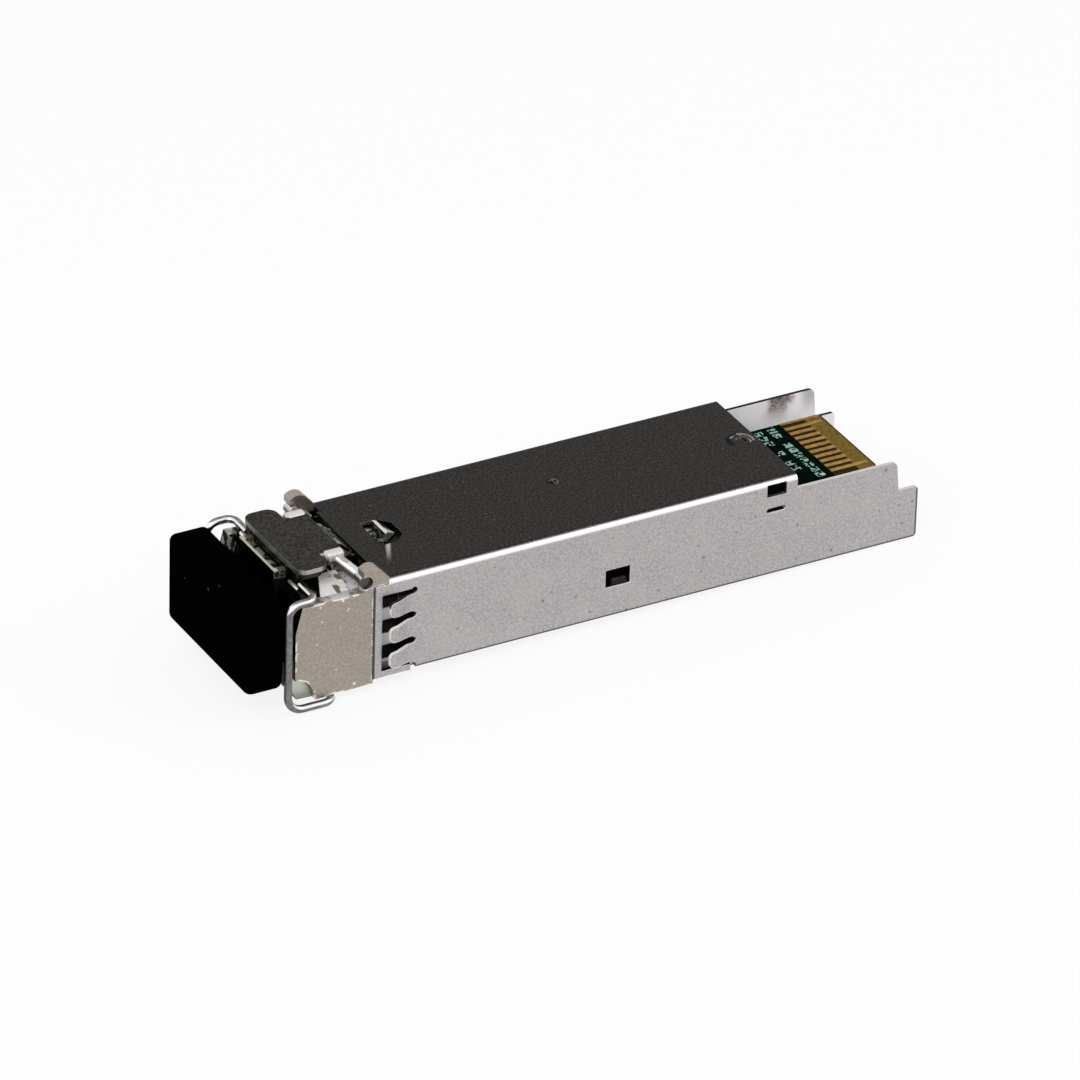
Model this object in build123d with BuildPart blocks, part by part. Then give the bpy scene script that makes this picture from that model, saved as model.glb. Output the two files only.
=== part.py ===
from build123d import *
from math import cos, pi, sin
import os

# Small form factor fibre optic transceiver with its wire bail, rocking latch and dust plug.
# X = 0 is the rear end of the card edge side, and the nose points along -X.
# Z = 0 is the flat label side, and the latch side looks up. Y = 0 is the middle plane.

# Module body
module_width = 13.4
module_height = 8.45
sheet = 0.3
bend_radius = 0.58
half_width = module_width / 2
inner_half = half_width - sheet
seat_gap = 0.02

# Upper shell
shell_front = -48.8
top_front = -47.8
front_skirt = 0.2
skirt_end = -45.45
ear_notch_end = -47.5
ear_notch_width = 1.8
ear_notch_drop = 0.4
ear_notch_height = module_height - ear_notch_drop
opening_front = -11.15
rim_height = 7.25
horn_end = -2.05
horn_foot = -1.8
step_height = 4.55
horn_radius = 0.5
step_radius = 0.3

# Openings in the upper shell
aperture_front = -45.6
aperture_rear = -43.3
aperture_half = 1.85
aperture_rear_half = 0.9
window_front = -28.3
window_rear = -26.05
window_low = 2.53
window_high = 4.15
bend_slot_front = -13.9
bend_slot_rear = -12.15
bend_slot_low = 7.05
bend_slot_high = 8.1
side_slot_low = 5.55
side_slot_high = 6.0
dimple_x = -29.0
dimple_y = 0.9
dimple_radius = 0.35
dimple_depth = 0.1
mark_x = -12.55
mark_radii = (0.95, 0.45)
mark_width = 0.18
mark_depth = 0.12

# Spring fingers of the shell and of the cover
finger_root = -45.25
finger_tip = -47.7
finger_window_front = -48.05
finger_window_top = 7.1
finger_top = 6.68
finger_root_low = 5.05
finger_tip_low = 5.45
finger_pitch = 2.27
finger_count = 3
finger_proud = 0.75
finger_sheet = 0.26
finger_steps = 6
relief_radius = 0.25
tip_radius = 0.4
relief_drop = 0.12
skirt_bar = 0.55
cover_finger_count = 4
cover_finger_pitch = 2.9
cover_finger_width = 1.7
cover_finger_proud = 0.6

# Label side cover
cover_front = -48.7
flange_height = 2.3
flange_front = -44.9
flange_rear = -1.0
rest_front_x = (-38.0, -34.5)
rest_rear_x = (-18.0, -14.5)
tab_front = -27.5
tab_rear = -26.3
tab_height = 3.0
tab_proud = 0.22

# Nose casting
nose_front = -55.56
nose_bottom = -0.5
nose_toe = -0.65
toe_x = -53.8
foot_step = 1.45
foot_notch_front = -55.3
foot_notch_x = -54.54
foot_notch_height = 1.12
toe_notch_x = -53.94
toe_notch_height = 0.13
foot_front = -55.15
foot_front_top = 0.1
foot_front_bottom = -0.6
plate_back = -52.8
foot_bottom = -0.66
wall_drop = 0.6
wall_top = module_height - wall_drop
wall_top_front = -55.0
face_slope_start = 5.6
side_wall = 0.95
side_plate = 0.6
deck_drop = 1.05
deck_height = module_height - deck_drop
deck_end = -50.2
ramp_front = -52.95
ramp_rise = 0.65
arm_deck_drop = 1.55
arm_deck_height = module_height - arm_deck_drop
block_half = 2.95
block_rise = 0.85
block_height = module_height + block_rise
block_end = -54.5
trough_front = -55.32
trough_half = 2.45
trough_depth = 0.5
trough_floor = block_height - trough_depth
ridge_drop = 0.1
ridge_height = module_height - ridge_drop
ridge_end = -50.9
spigot_end = -45.6
spigot_half = 5.5
spigot_neck_end = -48.1
cover_gap = 0.02

# Ports for the two fibre connectors
port_pitch = 6.25
port_axis_drop = 3.9
port_axis_height = module_height - port_axis_drop
rib_rise = 1.55
rib_top = port_axis_height + rib_rise
port_width = 4.8
port_height = 4.7
port_end = -50.0
keyway_width = 3.0
keyway_low = 0.9

# Ears of the latch pivot
ear_thickness = 1.0
ear_front = -49.7
ear_rear = -47.5
ear_reach = 1.3
stem_width = 1.7
stem_inner = half_width - stem_width

# Latch rocker
pivot_x = -49.45
pivot_rise = 0.15
pivot_height = module_height + pivot_rise
pivot_radius = 0.47
pivot_clearance = 0.08
pivot_end_gap = 0.3
pivot_half = half_width - pivot_end_gap
pivot_stub = 1.2
pivot_bend = pivot_half - pivot_stub
knuckle_front = -51.4
knuckle_rear = -49.7
knuckle_y = 3.25
knuckle_radius = 0.58
knuckle_chamfer = 0.22
knuckle_rise = 0.2
plate_rise = 1.45
plate_top = module_height + plate_rise
plate_front = -54.4
lobe_rear = -51.65
lobe_half = 4.85
lobe_radius = 0.9
neck_half = 3.2
plate_rear = -49.7
plate_rim = 0.4
body_depth = 1.0
body_bottom = plate_top - body_depth
body_inset = 0.35
pad_depth = 1.3
pad_bottom = plate_top - pad_depth
pad_inner = 3.35
pad_outer = 4.2
pad_front = -54.3
pad_rear = -53.8
arm_half = 1.75
arm_floor_gap = 0.3
arm_bottom = arm_deck_height + arm_floor_gap
arm_gap = 0.1
arm_front = -49.9
arm_end = -43.5
web_rear = -48.2
boss_shoulder = -44.9
boss_half = 1.15
boss_tail = -43.6
boss_tail_half = 0.3
boss_height = 0.5
boss_flat = 0.25

# Bail
wire_diameter = 0.65
wire_sides = 12
bail_x = -54.0
bail_rise = 0.05
bail_height = module_height + bail_rise
bail_side_gap = 0.3
bail_leg_y = half_width + bail_side_gap
bail_leg_x = -56.33
bail_bar_x = -52.15
bail_bar_height = -0.95
bar_groove_gap = 0.1
bail_axle_inner = 4.5
axle_bend = 0.8
shoulder_bend = 1.05
foot_bend = 1.3
bar_bend = 1.1
crank_offset = 0.28
crank_inner = 3.3
crank_outer = 4.85
groove_clearance = 0.055
lug_width = 0.8
lug_outer = half_width - side_wall
lug_inner = lug_outer - lug_width
lug_half_length = 0.72
lug_drop = 0.03
lug_top = module_height - lug_drop

# Leaf spring under the rocker
spring_sheet = 0.12
spring_gap = 0.01
spring_bow_part = 0.385
spring_half = 0.7
spring_front = -48.0
spring_rear = -46.35
spring_tip = -46.4

# Dust plug
plug_front = -59.9
plug_rear = -56.5
plug_side_gap = 0.075
plug_half = bail_leg_y - wire_diameter / 2 - plug_side_gap
plug_low = 1.0
plug_high = 8.85
plug_corner = 0.6
plug_toe_radius = 0.9
plug_edge = 0.5
prong_width = 4.3
prong_height = 4.2
prong_tip = -50.5
prong_bore_radius = 1.7
prong_bore_end = -56.0

# Circuit board and its card edge
board_top = 5.95
board_thickness = 1.0
board_front = -42.5
board_neck = -12.2
board_rear = -2.55
board_side_gap = 0.1
board_half = inner_half - board_side_gap
card_half = 4.6
card_corner = 0.3
pad_pitch = 0.8
pad_count = 10
pad_width = 0.42
pad_start = -6.3
pad_end = -4.0
long_pad_end = -2.9
pad_thickness = 0.04
edge_strip_inner = 4.3
edge_strip_end = -2.7

# Optical parts
barrel_front = -53.2
barrel_radius = 1.45
barrel_bore_radius = 1.0
barrel_bore_end = -49.2
flange_radius = 1.9
flange_thickness = 0.3
sleeve_front = -53.0
ferrule_bore_radius = 0.63
ferrule_bore_end = -49.4
can_radius = 2.0
can_rear = -44.6
can_rim_radius = 2.05
can_rim = 0.5
cradle_gap = 0.08
clamp_front = -46.2
clamp_rear = -45.7
clamp_sheet = 0.23
clamp_rib_half = 1.5
clamp_rise_half = 2.4
clamp_lean = 0.1
clamp_leg_rise = 0.15
flex_sheet = 0.12
flex_half = 1.2
flex_low = 3.2
flex_end = -40.8
flex_bend = 0.4

# Parts on the board, as length along X, width along Y and height
driver_size = (4.0, 4.0, 0.9)
driver_place = (-36.5, 3.2)
amplifier_size = (3.0, 3.0, 0.8)
amplifier_place = (-36.5, -3.2)
memory_size = (5.0, 5.0, 0.9)
memory_place = (-24.0, 0.0)
capacitor_size = (1.0, 0.5, 0.5)
resistor_size = (1.0, 0.5, 0.35)
inductor_size = (1.6, 0.8, 0.8)
capacitor_front_x = -31.5
capacitor_front_rows = (-4.5, -3.3, 3.3, 4.5)
capacitor_rear_x = -19.5
capacitor_rear_rows = (-3.6, -2.4, 2.4, 3.6)
resistor_front_x = -29.0
resistor_front_rows = (-4.2, -3.2, 3.2, 4.2)
resistor_rear_x = -16.8
resistor_rear_rows = (-3.0, -1.0, 1.0, 3.0)
inductor_places = [(-33.4, -0.8), (-33.4, 0.8), (-21.0, 4.6)]

board_bottom = board_top - board_thickness
plate_underside = module_height - sheet


def block(x0, x1, y0, y1, z0, z1, mode=Mode.ADD):
    """A straight block between two opposite corners."""
    with Locations(((x0 + x1) / 2, (y0 + y1) / 2, (z0 + z1) / 2)):
        Box(abs(x1 - x0), abs(y1 - y0), abs(z1 - z0), mode=mode)


def side_profile(points, y0, y1, mode=Mode.ADD):
    """An outline in X and Z, made solid from Y = y0 to Y = y1."""
    with BuildSketch(Plane.XZ.offset(-max(y0, y1))) as outline:
        with BuildLine():
            Polyline(*points, close=True)
        make_face()
    extrude(outline.sketch, amount=abs(y1 - y0), mode=mode)


def rod(x0, x1, y, z, radius, mode=Mode.ADD):
    """A round rod or hole along X."""
    with BuildSketch(Plane.YZ.offset(min(x0, x1))) as section:
        with Locations((y, z)):
            Circle(radius)
    extrude(section.sketch, amount=abs(x1 - x0), mode=mode)


def cross_rod(x, z, y0, y1, radius, mode=Mode.ADD):
    """A round rod or hole along Y."""
    with BuildSketch(Plane.XZ.offset(-max(y0, y1))) as section:
        with Locations((x, z)):
            Circle(radius)
    extrude(section.sketch, amount=abs(y1 - y0), mode=mode)


def finger_outline(surface, sheet_thickness, proud):
    """Points of one spring finger, seen along its width, bent away from the flat surface."""
    length = finger_root - finger_tip
    outer = []
    inner = []
    for step in range(finger_steps + 1):
        part = step / finger_steps
        x = finger_root - length * part
        rise = proud * (0.5 - 0.5 * cos(pi * min(part / 0.92, 1.0)))
        outer.append((x, surface + rise))
        inner.append((x, surface + rise - sheet_thickness))
    root_outer = (finger_root + 0.2, surface)
    root_inner = (finger_root + 0.2, surface - sheet_thickness)
    return [root_outer] + outer + inner[::-1] + [root_inner]


os.makedirs("parts", exist_ok=True)

# One sheet is folded over the top and both sides. Its walls get lower where the host connector
# comes in at the rear, and each side has a row of spring fingers behind the nose.
with BuildPart() as upper_shell:
    with BuildSketch(Plane.YZ.offset(shell_front)):
        with Locations((0, (module_height - front_skirt) / 2)):
            outer_face = Rectangle(module_width, module_height + front_skirt)
        fillet(outer_face.vertices().group_by(Axis.Y)[-1], bend_radius)
        with Locations((0, (plate_underside - front_skirt) / 2 - 0.5)):
            inner_face = Rectangle(2 * inner_half, plate_underside + front_skirt + 1.0, mode=Mode.SUBTRACT)
    extrude(amount=-shell_front)
    with BuildSketch(Plane.XZ.offset(-module_width)) as silhouette:
        with BuildLine():
            Polyline(
                (shell_front, -front_skirt),
                (shell_front, ear_notch_height),
                (top_front, ear_notch_height),
                (top_front, module_height + 1),
                (opening_front, module_height + 1),
                (opening_front, rim_height),
                (horn_end, rim_height),
                (horn_foot, step_height),
                (0, step_height),
                (0, 0),
                (skirt_end, 0),
                (skirt_end, -front_skirt),
                close=True,
            )
        make_face()
        corners = silhouette.vertices()
        fillet([v for v in corners if abs(v.X - horn_end) < 0.01 and abs(v.Y - rim_height) < 0.01], horn_radius)
        corners = silhouette.vertices()
        fillet([v for v in corners if abs(v.X) < 0.01], step_radius)
    extrude(amount=2 * module_width, mode=Mode.INTERSECT)
    for side in (-1, 1):
        notch_inner = side * (half_width - ear_notch_width)
        block(shell_front - 1, ear_notch_end, notch_inner, side * module_width, ear_notch_height, 2 * module_height, Mode.SUBTRACT)
        wall_in = side * (inner_half - 0.3)
        wall_out = side * (half_width + 0.3)
        block(window_front, window_rear, wall_in, wall_out, window_low, window_high, Mode.SUBTRACT)
        block(bend_slot_front, bend_slot_rear, wall_in, wall_out, bend_slot_low, bend_slot_high, Mode.SUBTRACT)
        with BuildSketch(Plane.XZ.offset(-max(wall_in, wall_out))):
            with Locations(((bend_slot_front + bend_slot_rear) / 2, (side_slot_low + side_slot_high) / 2)):
                SlotOverall(bend_slot_rear - bend_slot_front, side_slot_high - side_slot_low)
        extrude(amount=abs(wall_out - wall_in), mode=Mode.SUBTRACT)
        block(finger_window_front, finger_root, wall_in, wall_out, skirt_bar - front_skirt, finger_window_top, Mode.SUBTRACT)
        block(skirt_end - 0.05, finger_root, wall_in, wall_out, -1, 1, Mode.SUBTRACT)
        for number in range(finger_count + 1):
            hole_z = finger_window_top - relief_drop - number * finger_pitch
            cross_rod(finger_root, hole_z, wall_in, wall_out, relief_radius, Mode.SUBTRACT)
    with BuildSketch(Plane.XY.offset(plate_underside - 0.5)):
        with BuildLine():
            Polyline(
                (aperture_front, -aperture_half),
                (aperture_rear - 0.9, -aperture_half),
                (aperture_rear, -aperture_rear_half),
                (aperture_rear, aperture_rear_half),
                (aperture_rear - 0.9, aperture_half),
                (aperture_front, aperture_half),
                close=True,
            )
        make_face()
    extrude(amount=2, mode=Mode.SUBTRACT)
    with Locations((dimple_x, dimple_y, module_height)):
        Cylinder(dimple_radius, 2 * dimple_depth, mode=Mode.SUBTRACT)
    with BuildSketch(Plane.XY.offset(module_height - mark_depth)):
        for mark_radius in mark_radii:
            with BuildSketch(Plane.XY, mode=Mode.PRIVATE) as crescent:
                Circle(mark_radius)
                Circle(mark_radius - mark_width, mode=Mode.SUBTRACT)
                with Locations((0, -mark_radius)):
                    Rectangle(3 * mark_radius, 2 * mark_radius, mode=Mode.SUBTRACT)
            add(crescent.sketch.rotate(Axis.Z, -45).moved(Location((mark_x, 0))))
    extrude(amount=1, mode=Mode.SUBTRACT)
    for number in range(finger_count):
        drop = number * finger_pitch
        with BuildPart(mode=Mode.PRIVATE) as one_finger:
            with BuildSketch(Plane.XY.offset(finger_root_low - drop)):
                with BuildLine():
                    Polyline(*finger_outline(half_width, finger_sheet, finger_proud), close=True)
                make_face()
            extrude(amount=finger_top - finger_root_low)
            side_profile(
                [
                    (finger_root, finger_root_low - drop),
                    (finger_tip - 1, finger_tip_low - drop + 0.16),
                    (finger_tip - 1, finger_root_low - drop - 1),
                    (finger_root, finger_root_low - drop - 1),
                ],
                half_width - 1,
                half_width + 2,
                Mode.SUBTRACT,
            )
            fillet(one_finger.edges().filter_by(Axis.Y).sort_by(Axis.X)[:2], tip_radius)
        add(one_finger.part)
        add(mirror(one_finger.part, about=Plane.XZ))

# The label side cover drops in between the shell's walls. Its flanges lie inside the walls, snap
# into the side windows and carry the board, and fingers stand out of it behind the nose.
with BuildPart() as base_cover:
    cover_half = inner_half - seat_gap
    block(cover_front, 0, -cover_half, cover_half, 0, sheet)
    for side in (-1, 1):
        inner_flange = side * (cover_half - sheet)
        outer_flange = side * cover_half
        block(flange_front, flange_rear, inner_flange, outer_flange, 0, flange_height)
        for front, rear in (rest_front_x, rest_rear_x):
            block(front, rear, inner_flange, outer_flange, 0, board_bottom)
        block(tab_front, tab_rear, inner_flange, outer_flange, 0, tab_height)
        with BuildSketch(Plane.YZ.offset(tab_front)):
            with BuildLine():
                Polyline(
                    (side * (cover_half - 0.05), tab_height),
                    (side * (cover_half + tab_proud), window_low + 0.04),
                    (side * (cover_half - 0.05), window_low + 0.04),
                    close=True,
                )
            make_face()
        extrude(amount=tab_rear - tab_front)
    first_y = -cover_finger_pitch * (cover_finger_count - 1) / 2
    block(finger_window_front, finger_root, first_y - 1.2, -first_y + 1.2, -1, 1, Mode.SUBTRACT)
    for number in range(cover_finger_count):
        y = first_y + number * cover_finger_pitch
        outline = [(x, -z) for x, z in finger_outline(0, finger_sheet, cover_finger_proud)]
        side_profile(outline, y - cover_finger_width / 2, y + cover_finger_width / 2)

# The cast nose holds both connector ports. Behind its front lip is a deck with grooved lugs for the
# bail, and its rear ears hold the pivot of the latch.
with BuildPart() as nose_housing:
    side_profile(
        [
            (shell_front, nose_bottom),
            (shell_front, wall_top),
            (wall_top_front, wall_top),
            (nose_front, face_slope_start),
            (nose_front, foot_step),
            (foot_notch_front, foot_step),
            (foot_notch_x, foot_notch_height),
            (toe_notch_x, toe_notch_height),
            (toe_x, nose_toe),
        ],
        -half_width,
        half_width,
    )
    plate_inner = half_width - side_plate
    side_profile(
        [
            (plate_back, 0),
            (plate_back, foot_step + 1),
            (nose_front, foot_step + 1),
            (nose_front, foot_front_top),
            (foot_front, foot_front_bottom),
            (toe_x, foot_bottom),
        ],
        -plate_inner,
        plate_inner,
    )
    floor_half = half_width - side_wall
    block(wall_top_front, deck_end, -floor_half, floor_half, deck_height, block_height, Mode.SUBTRACT)
    block(deck_end, shell_front + 1, -floor_half, floor_half, arm_deck_height, block_height, Mode.SUBTRACT)
    block(nose_front, block_end, -block_half, block_half, deck_height - 1, block_height)
    block(trough_front, block_end + 1, -trough_half, trough_half, trough_floor, block_height + 1, Mode.SUBTRACT)
    block(block_end - 0.1, ridge_end, -block_half, block_half, deck_height - 1, ridge_height)
    for side in (-1, 1):
        with BuildSketch(Plane.XY.offset(deck_height - 0.2)):
            with BuildLine():
                Polyline(
                    (ramp_front, side * floor_half),
                    (ramp_front + 1.2, side * (block_half - 0.05)),
                    (deck_end, side * (block_half - 0.05)),
                    (deck_end, side * floor_half),
                    close=True,
                )
            make_face()
        extrude(amount=ramp_rise + 0.2)
        with BuildSketch(Plane.YZ.offset(ramp_front)):
            with BuildLine():
                Polyline(
                    (side * (floor_half + 0.1), deck_height),
                    (side * block_half, deck_height + ramp_rise),
                    (side * block_half, deck_height + 1),
                    (side * (floor_half + 0.1), deck_height + 1),
                    close=True,
                )
            make_face()
        extrude(amount=deck_end - ramp_front, mode=Mode.SUBTRACT)
        lug_in = side * lug_inner
        lug_out = side * lug_outer
        block(bail_x - lug_half_length, bail_x + lug_half_length, lug_in, lug_out, deck_height - 1, lug_top)
        groove_radius = wire_diameter / 2 + groove_clearance
        cross_rod(bail_x, bail_height, side * (lug_inner - 0.2), side * (lug_outer + 0.2), groove_radius, Mode.SUBTRACT)
        ear_in = side * (half_width - ear_thickness)
        ear_out = side * half_width
        with BuildSketch(Plane.XZ.offset(-max(ear_in, ear_out))):
            with BuildLine():
                hook = ThreePointArc(
                    (ear_front, pivot_height + 0.75 * ear_reach),
                    (pivot_x + 0.35, pivot_height + 0.97 * ear_reach),
                    (pivot_x + ear_reach, pivot_height + 0.6 * ear_reach),
                )
                Polyline(
                    hook @ 1,
                    (ear_rear, pivot_height + 0.1),
                    (ear_rear, ear_notch_height + 0.07),
                    (shell_front - 0.05, ear_notch_height + 0.07),
                    (shell_front - 0.05, wall_top - 1),
                    (ear_front, wall_top - 1),
                    hook @ 0,
                )
            make_face()
        extrude(amount=ear_thickness)
        stem_out = side * (inner_half - seat_gap)
        stem_in = side * stem_inner
        block(shell_front - 0.2, spigot_neck_end, stem_in, stem_out, arm_deck_height - 1, ear_notch_height + 0.1)
        notch_radius = pivot_radius + pivot_clearance
        cross_rod(pivot_x, pivot_height, ear_in - side * 0.3, ear_out + side * 0.3, notch_radius, Mode.SUBTRACT)
    cross_rod(bail_bar_x, bail_bar_height, -half_width, half_width, wire_diameter / 2 + bar_groove_gap, Mode.SUBTRACT)
    neck_half_width = inner_half - seat_gap
    floor_level = sheet + cover_gap
    block(shell_front - 0.2, spigot_neck_end, -neck_half_width, neck_half_width, floor_level, arm_deck_height)
    block(shell_front - 0.2, spigot_end, -spigot_half, spigot_half, floor_level, rib_top)
    for side in (-1, 1):
        port_y = side * port_pitch / 2
        port_low = port_axis_height - port_height / 2
        port_high = port_axis_height + port_height / 2
        block(nose_front - 1, port_end, port_y - port_width / 2, port_y + port_width / 2, port_low, port_high, Mode.SUBTRACT)
        block(nose_front - 1, port_end - 0.6, port_y - keyway_width / 2, port_y + keyway_width / 2, keyway_low, port_low + 1, Mode.SUBTRACT)
        rod(port_end - 1, shell_front + 1, port_y, port_axis_height, barrel_radius + seat_gap, Mode.SUBTRACT)
        rod(shell_front, spigot_end + 1, port_y, port_axis_height, can_rim_radius + cradle_gap, Mode.SUBTRACT)
        cradle = can_rim_radius + cradle_gap
        block(shell_front, spigot_end + 1, port_y - cradle, port_y + cradle, port_axis_height, rib_top + 0.6, Mode.SUBTRACT)

# One wire makes the whole bail. Its ends lie in the grooved lugs and are cranked, so that they lift
# the front of the latch when the bail is swung forward.
with BuildPart() as bail:
    with BuildLine():
        wire_path = FilletPolyline(
            (bail_x, -bail_axle_inner, bail_height),
            (bail_x, -bail_leg_y, bail_height),
            (bail_leg_x, -bail_leg_y, bail_height),
            (bail_leg_x, -bail_leg_y, bail_bar_height),
            (bail_bar_x, -bail_leg_y, bail_bar_height),
            (bail_bar_x, bail_leg_y, bail_bar_height),
            (bail_leg_x, bail_leg_y, bail_bar_height),
            (bail_leg_x, bail_leg_y, bail_height),
            (bail_x, bail_leg_y, bail_height),
            (bail_x, bail_axle_inner, bail_height),
            radius=(axle_bend, shoulder_bend, foot_bend, bar_bend, bar_bend, foot_bend, shoulder_bend, axle_bend),
        )
    with BuildSketch(Plane(origin=wire_path @ 0, z_dir=wire_path % 0)):
        RegularPolygon(wire_diameter / 2, wire_sides)
    sweep(path=wire_path)
    crank_x = bail_x - crank_offset
    crank_z = bail_height - crank_offset
    for side in (-1, 1):
        cross_rod(crank_x, crank_z, side * crank_inner, side * crank_outer, wire_diameter / 2)

# The latch rocks on its round side arms. Its front plate covers the bail's cranked ends, and its
# rear arm runs under the shell and carries the boss that locks into the cage.
with BuildPart() as latch_rocker:
    with BuildSketch(Plane.XY.offset(plate_top - plate_rim)):
        with Locations(((plate_front + lobe_rear) / 2, 0)):
            lobe = RectangleRounded(lobe_rear - plate_front, 2 * lobe_half, lobe_radius)
        with Locations(((lobe_rear + plate_rear) / 2 - 0.5, 0)):
            Rectangle(plate_rear - lobe_rear + 1, 2 * neck_half)
    extrude(amount=plate_rim)
    with BuildSketch(Plane.XY.offset(body_bottom)):
        with Locations(((plate_front + lobe_rear) / 2, 0)):
            RectangleRounded(lobe_rear - plate_front - 2 * body_inset, 2 * (lobe_half - body_inset), lobe_radius - body_inset)
        with Locations(((plate_front + plate_rear) / 2 - 0.1, 0)):
            Rectangle(plate_rear - plate_front - 0.2, 2 * block_half)
    extrude(amount=plate_top - plate_rim - body_bottom)
    for side in (-1, 1):
        block(pad_front, pad_rear, side * pad_inner, side * pad_outer, pad_bottom, plate_top - plate_rim)
    neck_edges = latch_rocker.edges().filter_by(Axis.X).filter_by(
        lambda e: abs(e.center().Z - plate_top) < 0.01 and abs(abs(e.center().Y) - neck_half) < 0.01
    )
    fillet(neck_edges, plate_rim - 0.05)
    arm_top = plate_underside - arm_gap
    side_profile(
        [
            (plate_rear - 0.9, plate_top - 0.2),
            (plate_rear, plate_top - 0.2),
            (plate_rear + 0.75, plate_top - 0.6),
            (web_rear, pivot_height),
            (web_rear, arm_top),
            (arm_end, arm_top),
            (arm_end, arm_bottom + 0.2),
            (arm_end - 0.2, arm_bottom),
            (arm_front, arm_bottom),
            (arm_front - 0.35, body_bottom),
            (plate_rear - 0.9, body_bottom + 0.2),
        ],
        -arm_half,
        arm_half,
    )
    for side in (-1, 1):
        cross_rod(pivot_x, pivot_height, side * (pivot_bend - pivot_radius), side * pivot_half, pivot_radius)
        knuckle_height = plate_top + knuckle_rise - knuckle_radius
        with BuildPart(mode=Mode.PRIVATE) as knuckle:
            rod(knuckle_front, knuckle_rear, side * knuckle_y, knuckle_height, knuckle_radius)
            chamfer(knuckle.edges().filter_by(GeomType.CIRCLE), knuckle_chamfer)
        add(knuckle.part)
        arm_root = Vector((knuckle_front + knuckle_rear) / 2, side * knuckle_y, knuckle_height)
        arm_tip = Vector(pivot_x, side * pivot_bend, pivot_height)
        with BuildSketch(Plane(origin=arm_root, z_dir=arm_tip - arm_root)) as arm_section:
            Circle(pivot_radius)
        extrude(arm_section.sketch, amount=(arm_tip - arm_root).length)
    boss_top = module_height + boss_height
    with BuildSketch(Plane.XY.offset(arm_top - 0.3)):
        with BuildLine():
            Polyline(
                (boss_shoulder, -boss_half),
                (boss_tail, -boss_tail_half),
                (boss_tail, boss_tail_half),
                (boss_shoulder, boss_half),
                close=True,
            )
        make_face()
    extrude(amount=boss_top - arm_top + 0.3)
    side_profile(
        [
            (boss_shoulder + boss_flat, boss_top + 0.01),
            (boss_tail + 0.1, module_height - 0.3),
            (boss_tail + 1, module_height - 0.3),
            (boss_tail + 1, boss_top + 1),
            (boss_shoulder + boss_flat, boss_top + 1),
        ],
        -2,
        2,
        Mode.SUBTRACT,
    )

# A thin leaf stands on the nose's rib and holds the rocker's rear arm up.
with BuildPart() as latch_spring:
    leaf_top = arm_bottom - spring_gap
    spring_bow = spring_bow_part * (leaf_top - rib_top)
    side_profile(
        [
            (spring_rear, rib_top),
            (spring_front + 0.15, rib_top),
            (spring_front, rib_top + 0.15),
            (spring_front + 0.15, rib_top + spring_bow),
            (spring_tip - 0.3, leaf_top),
            (spring_tip, leaf_top - 0.05),
            (spring_tip - 0.03, leaf_top - 0.05 - spring_sheet),
            (spring_tip - 0.3, leaf_top - spring_sheet),
            (spring_front + 0.22, rib_top + spring_bow - 0.11),
            (spring_front + 0.13, rib_top + 0.17),
            (spring_front + 0.21, rib_top + spring_sheet),
            (spring_rear, rib_top + spring_sheet),
        ],
        -spring_half,
        spring_half,
    )

# The dust plug's hollow prongs reach over the barrels in both ports.
with BuildPart() as dust_plug:
    with BuildSketch(Plane.XZ.offset(-plug_half)) as plug_side:
        with Locations(((plug_front + plug_rear) / 2, (plug_low + plug_high) / 2)):
            Rectangle(plug_rear - plug_front, plug_high - plug_low)
        toe = plug_side.vertices().sort_by(lambda v: v.X + v.Y)[0]
        fillet([v for v in plug_side.vertices() if v != toe], plug_corner)
        fillet(plug_side.vertices().sort_by(lambda v: v.X + v.Y)[0], plug_toe_radius)
    extrude(amount=2 * plug_half)
    fillet(dust_plug.faces().filter_by(Axis.Y).edges(), plug_edge)
    for side in (-1, 1):
        prong_y = side * port_pitch / 2
        block(
            plug_rear - 1,
            prong_tip,
            prong_y - prong_width / 2,
            prong_y + prong_width / 2,
            port_axis_height - prong_height / 2,
            port_axis_height + prong_height / 2,
        )
    prong_edges = dust_plug.edges().filter_by(Axis.X).filter_by(lambda e: e.center().X > plug_rear)
    fillet(prong_edges, 0.3)
    for side in (-1, 1):
        rod(prong_bore_end, prong_tip + 1, side * port_pitch / 2, port_axis_height, prong_bore_radius, Mode.SUBTRACT)

# The board rests on the cover's flanges, and its narrow end is the card edge.
with BuildPart() as circuit_board:
    with BuildSketch(Plane.XY.offset(board_bottom)):
        with BuildLine():
            Polyline(
                (board_front, -board_half),
                (board_neck, -board_half),
                (board_neck, -card_half),
                (board_rear - card_corner, -card_half),
                (board_rear, -card_half + card_corner),
                (board_rear, card_half - card_corner),
                (board_rear - card_corner, card_half),
                (board_neck, card_half),
                (board_neck, board_half),
                (board_front, board_half),
                close=True,
            )
        make_face()
    extrude(amount=board_thickness)

with BuildPart() as contact_pads:
    for number in range(pad_count):
        pad_y = (number - (pad_count - 1) / 2) * pad_pitch
        outermost = number in (0, pad_count - 1)
        end = long_pad_end if outermost else pad_end
        block(pad_start, end, pad_y - pad_width / 2, pad_y + pad_width / 2, board_top, board_top + pad_thickness)
        block(
            pad_start, end, pad_y - pad_width / 2, pad_y + pad_width / 2, board_bottom - pad_thickness, board_bottom
        )
    block(pad_start, edge_strip_end, edge_strip_inner, card_half, board_top, board_top + pad_thickness)


def optical_barrel(y):
    """A metal barrel with a flange that seats behind the port's end wall."""
    rod(barrel_front, shell_front, y, port_axis_height, barrel_radius)
    rod(shell_front, shell_front + flange_thickness, y, port_axis_height, flange_radius)
    rod(barrel_front - 1, barrel_bore_end, y, port_axis_height, barrel_bore_radius, Mode.SUBTRACT)


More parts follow.
